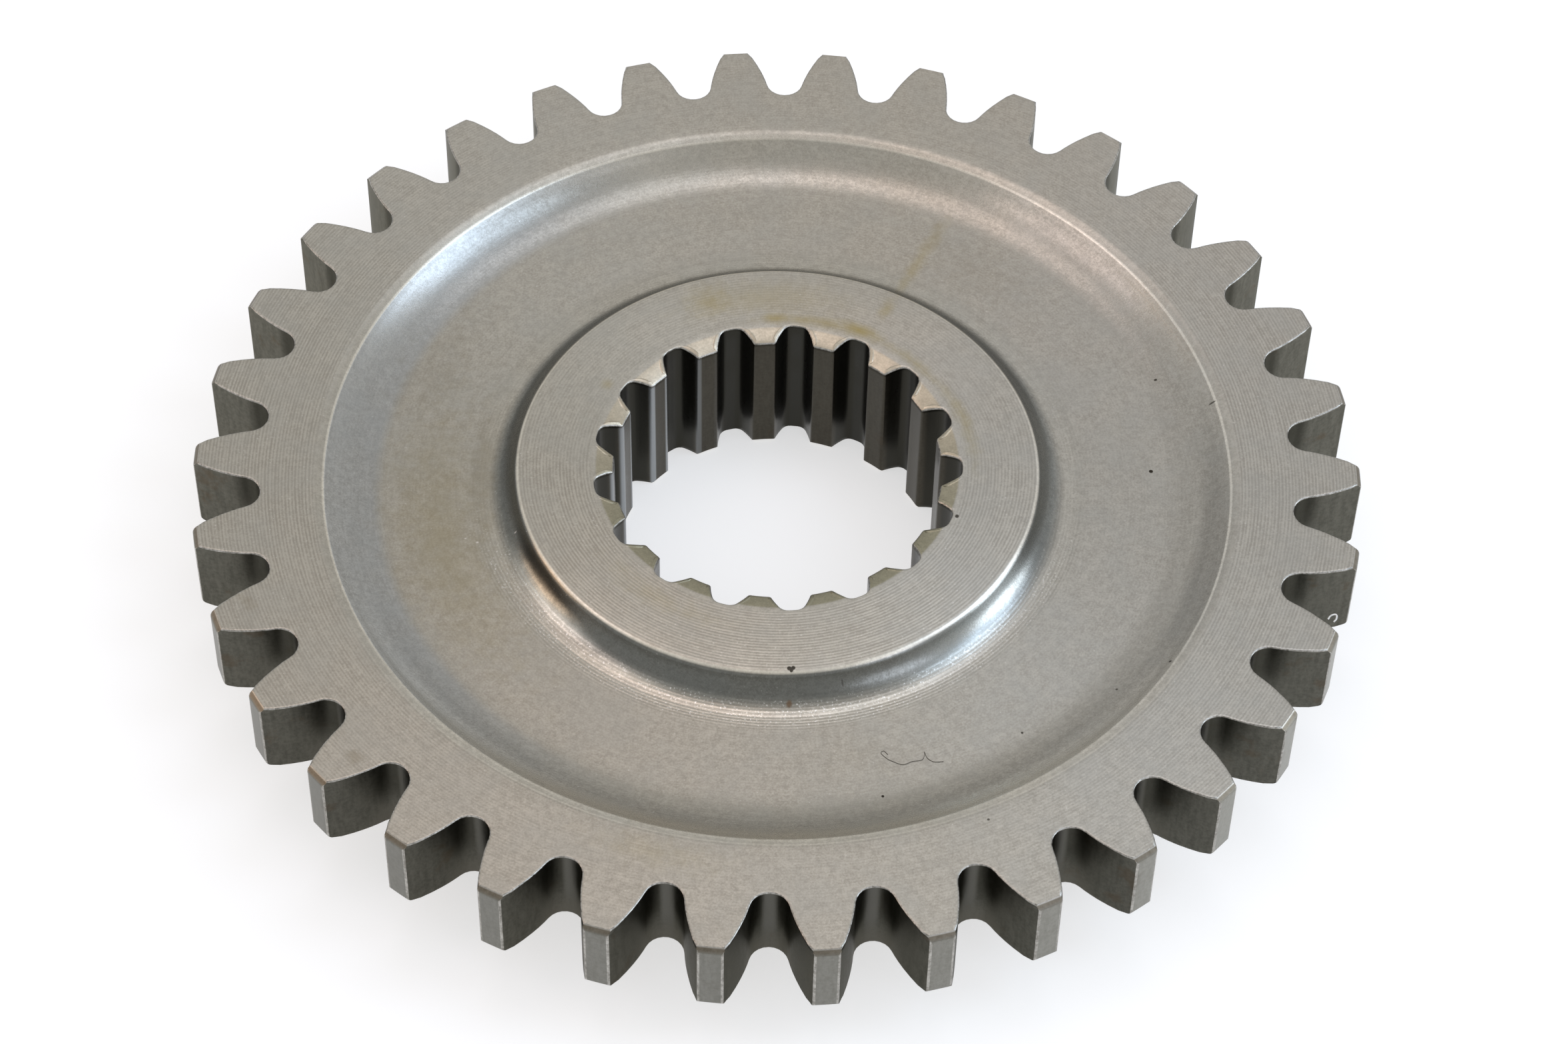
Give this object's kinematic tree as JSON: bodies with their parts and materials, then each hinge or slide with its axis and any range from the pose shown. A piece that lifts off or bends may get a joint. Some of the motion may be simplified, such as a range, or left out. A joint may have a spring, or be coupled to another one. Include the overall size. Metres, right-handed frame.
{
  "type": "crankshaft gear",
  "caption": "Flat spur gear turned from steel, with a straight-toothed rim, a thin recessed web and a hub with a splined bore, for driving from a crankshaft.",
  "frame": {"origin": "on the gear's axis, in the plane of the hub's long end, on which the gear lies flat", "axes": "+Z along the gear's axis, from the hub's long end to the face that is level with the rim; +X through the middle of a tooth and of a spline groove; Y follows by the right-hand rule"},
  "size_m": [0.09, 0.0898, 0.0123],
  "materials": {
    "gear": "turned and hobbed steel, oiled, unpainted"
  },
  "bodies": {
    "root": {"gear": "gear"}
  },
  "joints": []
}
